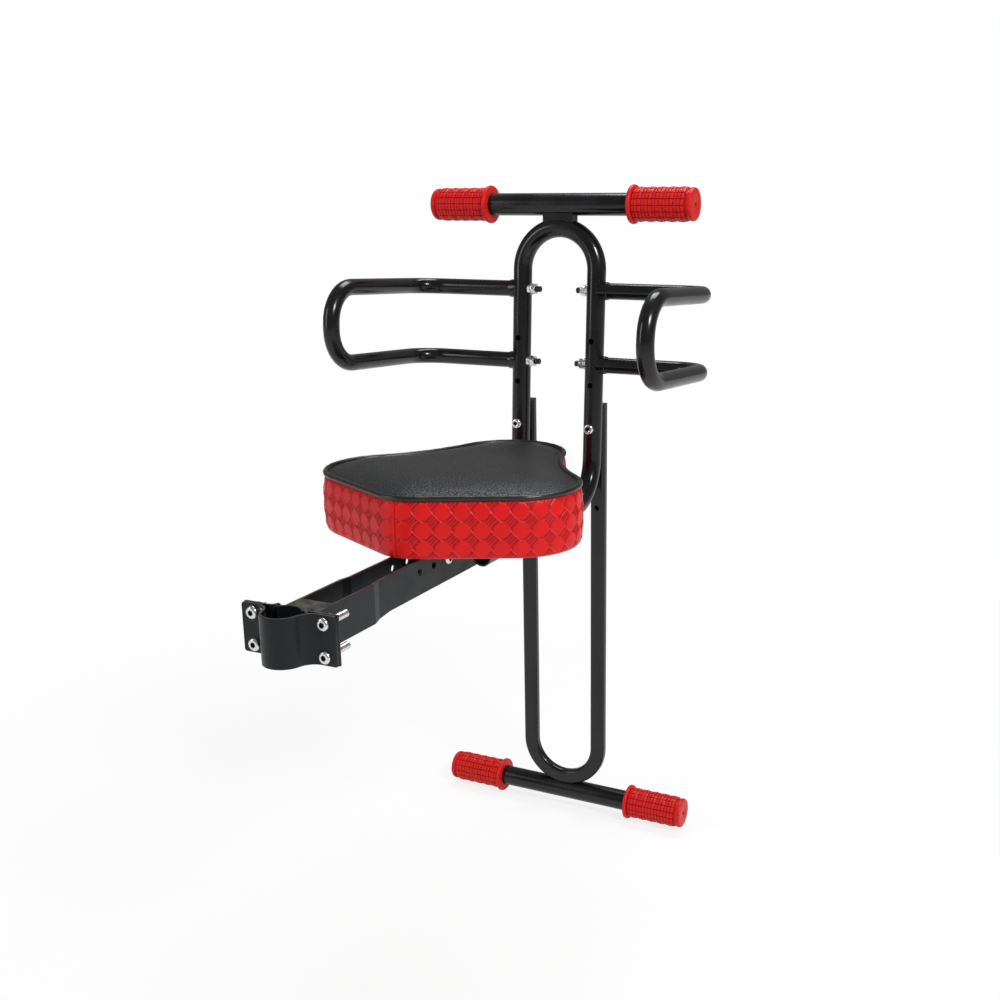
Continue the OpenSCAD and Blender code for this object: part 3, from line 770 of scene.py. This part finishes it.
NOSE_C, NOSE_R = np.array([0.0, 353.3]), 56.2
WING_C, WING_R = np.array([67.2, 245.3]), 56.5
WAIST_R, REAR_Y, REAR_R = 182.0, 153.5, 43.8
SEAT_UNDER = box_mm("seat_board")[0][2]
SEAM_Z = box_mm("seat_foam")[1][2]


def arc(centre, radius, start, end, step=0.5):
    count = max(2, int(abs(end - start) * radius / step))
    a = np.linspace(start, end, count)
    return centre + radius * np.stack([np.cos(a), np.sin(a)], 1)


def seat_line(inset, count):
    """count points round the saddle in plan, evenly spaced, inset by so much."""
    gap = WING_C - NOSE_C
    length = np.linalg.norm(gap)
    nose, wing = NOSE_R + WAIST_R, WING_R + WAIST_R
    along = (nose**2 - wing**2 + length**2) / (2 * length)
    off = math.sqrt(nose**2 - along**2)
    unit = gap / length
    waist_c = NOSE_C + unit * along + np.array([-unit[1], unit[0]]) * off
    rear_c = np.array([0.0, REAR_Y + REAR_R])
    back = WING_C - rear_c
    rear_a = math.atan2(back[1], back[0]) - math.acos((REAR_R - WING_R) / np.linalg.norm(back))
    wing_a = math.atan2(*(waist_c - WING_C)[::-1])
    nose_a = math.atan2(*(waist_c - NOSE_C)[::-1])
    half = np.concatenate(
        [
            arc(NOSE_C, NOSE_R - inset, math.pi / 2, nose_a),
            arc(waist_c, WAIST_R + inset, nose_a + math.pi, wing_a + math.pi)[1:],
            arc(WING_C, WING_R - inset, wing_a, rear_a)[1:],
            arc(rear_c, REAR_R - inset, rear_a, -math.pi / 2),
        ]
    )
    whole = np.concatenate([half, (half * [-1, 1])[::-1][1:-1]])
    whole = np.concatenate([whole, whole[:1]])
    run = np.concatenate([[0], np.cumsum(np.linalg.norm(np.diff(whole, axis=0), axis=1))])
    at = np.linspace(0, run[-1], count, endpoint=False)
    return np.stack([np.interp(at, run, whole[:, 0]), np.interp(at, run, whole[:, 1])], 1), run[-1]


def outward(line):
    """Unit normals of a closed line that runs clockwise in plan."""
    along = np.roll(line, -1, 0) - np.roll(line, 1, 0)
    along = along / np.linalg.norm(along, axis=1)[:, None]
    return np.stack([-along[:, 1], along[:, 0]], 1)


def foam_look(place):
    pores = place.cells(1.6)
    return {
        "Base Color": place.noise(30, 2).between((0.62, 0.55, 0.34), (0.72, 0.66, 0.46)),
        "Roughness": 0.85 + 0.1 * pores,
        "Normal": pores.bump(0.4, 0.8),
    }


foam = finish("open_foam", foam_look)
dress(foam, "seat_foam")

# ---- Saddle side band -----------------------------------------------------
# A strip of red leatherette embossed with a woven strap pattern, wrapped
# round the foam, tucked under the board and sewn shut at the rear point.
# The grooves of the weave get painted shade, and the strap crests get a painted highlight.


def leatherette_look(place):
    cloud = place.noise(22, 3)
    grain = place.cells(0.55)
    # Grooves of the weave are painted a darker red as painted shade. The crests of the crossing straps are painted
    # pinker as a painted highlight.
    raised_vs_groove_shade = place.node("ShaderNodeAttribute", {"attribute_name": "relief"}, out=2).step(0.0, 0.75)
    painted_crest_highlight = place.node("ShaderNodeAttribute", {"attribute_name": "relief"}, out=2).step(0.80, 1.0)
    red = cloud.between((0.56, 0.003, 0.004), (0.70, 0.005, 0.006))
    red = (0.5 * painted_crest_highlight).between(red, (0.95, 0.16, 0.13))
    return {
        "Base Color": raised_vs_groove_shade.between((0.37, 0.003, 0.004), red),
        "Roughness": 0.34 + 0.12 * cloud,
        "Normal": grain.bump(0.03, 0.35),
    }


red_leatherette = finish("red_leatherette", leatherette_look, Specular_IOR_Level=0.25)

BAND_COLS = 1040
BAND_ROWS = 66
BAND_FROM = box_mm("seat_band")[0][2]
BAND_HEIGHT = SEAM_Z - BAND_FROM


def ridge(distance, width):
    """A rounded ridge of that half width along distance zero."""
    t = np.clip(1 - np.abs(distance) / width, 0, 1)
    return t * t * (3 - 2 * t)


def weave(s, h):
    """Relief of the woven straps, 0 to 1: s runs round the band, h up it."""
    pitch_s, pitch_h = 16.4, 16.0
    col, row = s / pitch_s, h / pitch_h
    u, v = col - np.round(col), row - np.round(row)
    x, y = u * pitch_s, v * pitch_h
    eight = np.maximum(np.maximum(np.abs(x), np.abs(y)), (np.abs(x) + np.abs(y)) * 0.76)
    pad = np.clip((7.7 - eight) / 1.1, 0, 1)
    pad = pad * pad * (3 - 2 * pad) * (0.62 + 0.04 * (x + y) / 8)
    cu, cv = col - np.floor(col) - 0.5, row - np.floor(row) - 0.5
    cx, cy = cu * pitch_s, cv * pitch_h
    rising, falling = (cx - cy) / math.sqrt(2), (cx + cy) / math.sqrt(2)
    straps = np.zeros_like(s)
    for offset in (-2.3, 0.0, 2.3):
        near = ridge(rising - offset, 0.85) * np.clip((5.4 - np.abs(falling)) / 0.8, 0, 1)
        straps = np.maximum(straps, near)
    over = ridge(falling - 4.6, 1.1) * np.clip((7.2 - np.abs(rising)) / 0.8, 0, 1)
    return np.maximum(np.maximum(pad, 0.8 * straps), over)


def band_form():
    line, length = seat_line(0.0, BAND_COLS)
    out = outward(line)
    s = np.arange(BAND_COLS) * length / BAND_COLS
    seam_s = length / 2
    from_seam = s - seam_s
    rings, heights = [], []
    under = [(7.0, SEAT_UNDER - 0.7), (3.6, SEAT_UNDER - 0.9), (1.6, SEAT_UNDER - 0.2), (0.5, SEAT_UNDER + 1.0)]
    for inset, z in under:
        rings.append(np.column_stack([line - out * inset, np.full(BAND_COLS, z)]))
    base = SEAT_UNDER + 2.4
    for k in range(BAND_ROWS):
        t = k / (BAND_ROWS - 1)
        z = base + (SEAM_Z - base) * t
        belly = 1.3 * math.sin(math.pi * t) ** 0.8 - 1.2 * t**6
        relief = weave(8.2 - from_seam, np.full(BAND_COLS, z - BAND_FROM) - 6.0)
        calm = np.clip((np.abs(from_seam) - 1.2) / 2.5, 0, 1)
        edge = min(1.0, (1 - t) / 0.05, t / 0.05 + 0.3)
        fold = -0.9 * ridge(from_seam, 1.1) + 0.5 * ridge(np.abs(from_seam) - 2.2, 1.3)
        push = belly + 1.15 * relief * calm * edge + fold
        rings.append(np.column_stack([line + out * (push - 0.4)[:, None], np.full(BAND_COLS, z)]))
        heights.append(np.clip(relief * calm + 0.7 * (1 - calm), 0, 1))
    heights = [np.full(BAND_COLS, 0.7)] * len(under) + heights
    rings.append(np.column_stack([line - out * 1.6, np.full(BAND_COLS, SEAM_Z + 0.3)]))
    for z in (SEAM_Z - 0.4, (SEAM_Z + base) / 2, SEAT_UNDER + 2.0):
        rings.append(np.column_stack([line - out * 1.9, np.full(BAND_COLS, z)]))
    rings.append(np.column_stack([line - out * 1.9, np.full(BAND_COLS, SEAT_UNDER - 0.05)]))
    rings.append(np.column_stack([line - out * 7.0, np.full(BAND_COLS, SEAT_UNDER - 0.05)]))
    faces, n, count = [], len(rings), BAND_COLS
    for k in range(n):
        m = (k + 1) % n
        for i in range(count):
            j = (i + 1) % count
            faces.append((k * count + i, m * count + i, m * count + j, k * count + j))
    heights += [np.full(BAND_COLS, 0.7)] * (n - len(heights))
    return np.concatenate(rings) * MM, faces, np.concatenate(heights)


points, faces, relief = band_form()
band = make_piece("saddle_side_band", points, faces, red_leatherette, "seat_red", "seat_band", smooth_deg=60)
mark(band, relief)

# ---- Saddle bead ----------------------------------------------------------
# A round black piping sewn into the seam between the side band and the top.


def piping_look(place):
    cloud = place.noise(12, 2)
    return {
        "Base Color": cloud.between((0.0060, 0.0060, 0.0065), (0.0110, 0.0110, 0.0115)),
        "Roughness": 0.26 + 0.12 * cloud,
        "Normal": place.cells(0.6).bump(0.03, 0.4),
    }


piping = finish("black_piping", piping_look)


def bead_form(count=720, around=14, radius=2.35):
    line = seat_line(1.2, count)[0]
    out = outward(line)
    s = np.arange(count) * 2 * math.pi / count
    rings = []
    for k in range(around):
        a = 2 * math.pi * k / around
        ripple = 0.06 * np.sin(60 * s) + 0.05 * np.sin(23 * s + 1)
        r = radius + ripple
        rings.append(np.column_stack([line + out * (r * math.cos(a))[:, None], SEAM_Z + 2.3 + r * math.sin(a)]))
    faces = []
    for k in range(around):
        m = (k + 1) % around
        for i in range(count):
            j = (i + 1) % count
            faces.append((k * count + i, m * count + i, m * count + j, k * count + j))
    return np.concatenate(rings) * MM, faces


points, faces = bead_form()
make_piece("saddle_bead", points, faces, piping, "piping_black", "seat_piping", smooth_deg=80)

# ---- Saddle top -----------------------------------------------------------
# A panel of black grained leatherette drawn down over the foam to the bead,
# slightly crowned, with a shallow sewn groove just inside the bead.


def top_look(place):
    cloud = place.noise(34, 3)
    pebble = place.cells(2.1)
    fine = place.noise(0.5, 2)
    grain = pebble.step(0.05, 0.6) * 0.7 + 0.3 * fine
    return {
        "Base Color": cloud.between((0.0042, 0.0046, 0.0058), (0.0080, 0.0084, 0.0092)),
        "Roughness": 0.33 + 0.10 * cloud,
        "Normal": grain.bump(0.50, 0.9),
    }


black_leatherette = finish("black_leatherette", top_look, Specular_IOR_Level=0.40)


def top_form(count=360, rings_in=46):
    edge = seat_line(3.2, count)[0]
    middle = np.array([0.0, 285.0])
    dense = seat_line(3.2, 900)[0]
    layers = []
    for k in range(rings_in):
        share = 1 - k / rings_in
        flat = middle + (edge - middle) * share
        gap = np.sqrt(((flat[:, None, :] - dense[None, :, :]) ** 2).sum(2)).min(1)
        rise = 8.4 * (1 - np.exp(-((gap / 21.0) ** 1.25)))
        groove = 0.5 * ridge(gap - 3.0, 1.4)
        wave = 0.35 * np.sin(flat[:, 0] * 0.07 + 0.6) * np.sin(flat[:, 1] * 0.055)
        z = SEAM_Z + 2.2 + rise - groove + wave * np.clip(gap / 25, 0, 1)
        layers.append(np.column_stack([flat, z]))
    under = [np.column_stack([edge, np.full(count, SEAM_Z + 0.6)])]
    points = np.concatenate(under + layers)
    faces = []
    for k in range(len(under) + len(layers) - 1):
        for i in range(count):
            j = (i + 1) % count
            faces.append((k * count + i, (k + 1) * count + i, (k + 1) * count + j, k * count + j))
    last = (len(under) + len(layers) - 1) * count
    centre = len(points)
    points = np.concatenate([points, [[*middle, points[last:, 2].mean()]], [[*middle, SEAM_Z + 0.6]]])
    for i in range(count):
        j = (i + 1) % count
        faces.append((last + i, centre, last + j))
        faces.append((j, centre + 1, i))
    return points * MM, faces


points, faces = top_form()
top = make_piece("saddle_top_panel", points, faces, black_leatherette, "seat_black", "seat_top", smooth_deg=60)

# ---- Studio ---------------------------------------------------------------
# A pale floor under the foot bar, white surroundings, a key lamp on the right
# and softer lamps above and behind, and the camera of the photograph.

floor_z = cad_low.z - 0.0006


def floor_material():
    made = bpy.data.materials.new("pale_floor")
    made.use_nodes = True
    tree = made.node_tree
    tree.nodes.clear()
    place = Wire(tree).node("ShaderNodeTexCoord", out=3)
    away = place.node("ShaderNodeVectorMath", {"operation": "LENGTH"}, {0: place}, 1)
    ray = place.node("ShaderNodeLightPath")
    glossy = Wire(tree, ray.socket.node.outputs["Is Glossy Ray"])
    seen = ray + 0.5 * glossy
    share = (0.80 + 0.20 * away.step(0.3, 1.2)) * seen
    matt = place.node("ShaderNodeBsdfDiffuse", {}, {"Color": (0.86, 0.86, 0.86, 1)})
    white = place.node("ShaderNodeEmission", {}, {"Color": (1, 1, 1, 1), "Strength": 1.0})
    mixed = place.node("ShaderNodeMixShader", {}, {0: share, 1: matt, 2: white})
    end = tree.nodes.new("ShaderNodeOutputMaterial")
    tree.links.new(mixed.socket, end.inputs[0])
    return made


mesh = bpy.data.meshes.new("floor")
mesh.from_pydata([(-9, -9, 0), (9, -9, 0), (9, 9, 0), (-9, 9, 0)], [], [(0, 1, 2, 3)])
mesh.materials.append(floor_material())
floor = bpy.data.objects.new("floor", mesh)
floor.location = (0, 0.35, floor_z)
bpy.context.scene.collection.objects.link(floor)
floor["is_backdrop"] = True

world = bpy.data.worlds.new("white_room")
bpy.context.scene.world = world
world.use_nodes = True
tree = world.node_tree
tree.nodes.clear()
ray = Wire(tree).node("ShaderNodeLightPath")
seen = ray + Wire(tree, ray.socket.node.outputs["Is Transmission Ray"])
glossy = Wire(tree, ray.socket.node.outputs["Is Glossy Ray"])
AMBIENT = 0.42
strength = AMBIENT + (1 - AMBIENT) * seen - 0.16 * glossy
room = ray.node("ShaderNodeBackground", {}, {"Color": (1, 1, 1, 1), "Strength": strength})
end = tree.nodes.new("ShaderNodeOutputWorld")
tree.links.new(room.socket, end.inputs[0])


def lamp(name, place, aim, size, watts, tint=(1, 1, 1)):
    data = bpy.data.lights.new(name, "AREA")
    data.shape = "RECTANGLE"
    data.size, data.size_y = size
    data.energy = watts
    data.color = tint
    made = bpy.data.objects.new(name, data)
    made.location = place
    made.rotation_mode = "QUATERNION"
    made.rotation_quaternion = (Vector(aim) - Vector(place)).to_track_quat("-Z", "Y")
    bpy.context.scene.collection.objects.link(made)


CENTRE = (0, 0.36, 0.0)
lamp("key", (1.5, -0.5, 1.35), CENTRE, (0.45, 0.45), 30, (1, 0.985, 0.96))
lamp("sky", (-0.1, 1.2, 1.9), CENTRE, (1.2, 0.8), 22, (0.95, 0.98, 1))
lamp("fill", (-1.4, -1.1, 0.7), CENTRE, (0.5, 1.2), 8)

turn, dip, roll = math.radians(26.28), math.radians(16.09), math.radians(-0.44)
ahead = Vector((-math.sin(turn) * math.cos(dip), math.cos(turn) * math.cos(dip), -math.sin(dip)))
level = Vector((math.cos(turn), math.sin(turn), 0))
upward = level.cross(ahead)
right = level * math.cos(roll) + upward * math.sin(roll)
upright = upward * math.cos(roll) - level * math.sin(roll)
data = bpy.data.cameras.new("camera")
camera = bpy.data.objects.new("camera", data)
camera.matrix_world = Matrix(
    (
        (right.x, upright.x, -ahead.x, 0.5648),
        (right.y, upright.y, -ahead.y, -0.6922),
        (right.z, upright.z, -ahead.z, 0.3196),
        (0, 0, 0, 1),
    )
)
data.sensor_fit = "HORIZONTAL"
data.sensor_width = 36
data.lens = 45.03
data.shift_x = -0.0528
data.shift_y = 0.0462
data.clip_start, data.clip_end = 0.05, 50
bpy.context.scene.collection.objects.link(camera)
bpy.context.scene.camera = camera
bpy.context.scene.view_settings.view_transform = "Standard"

low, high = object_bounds()
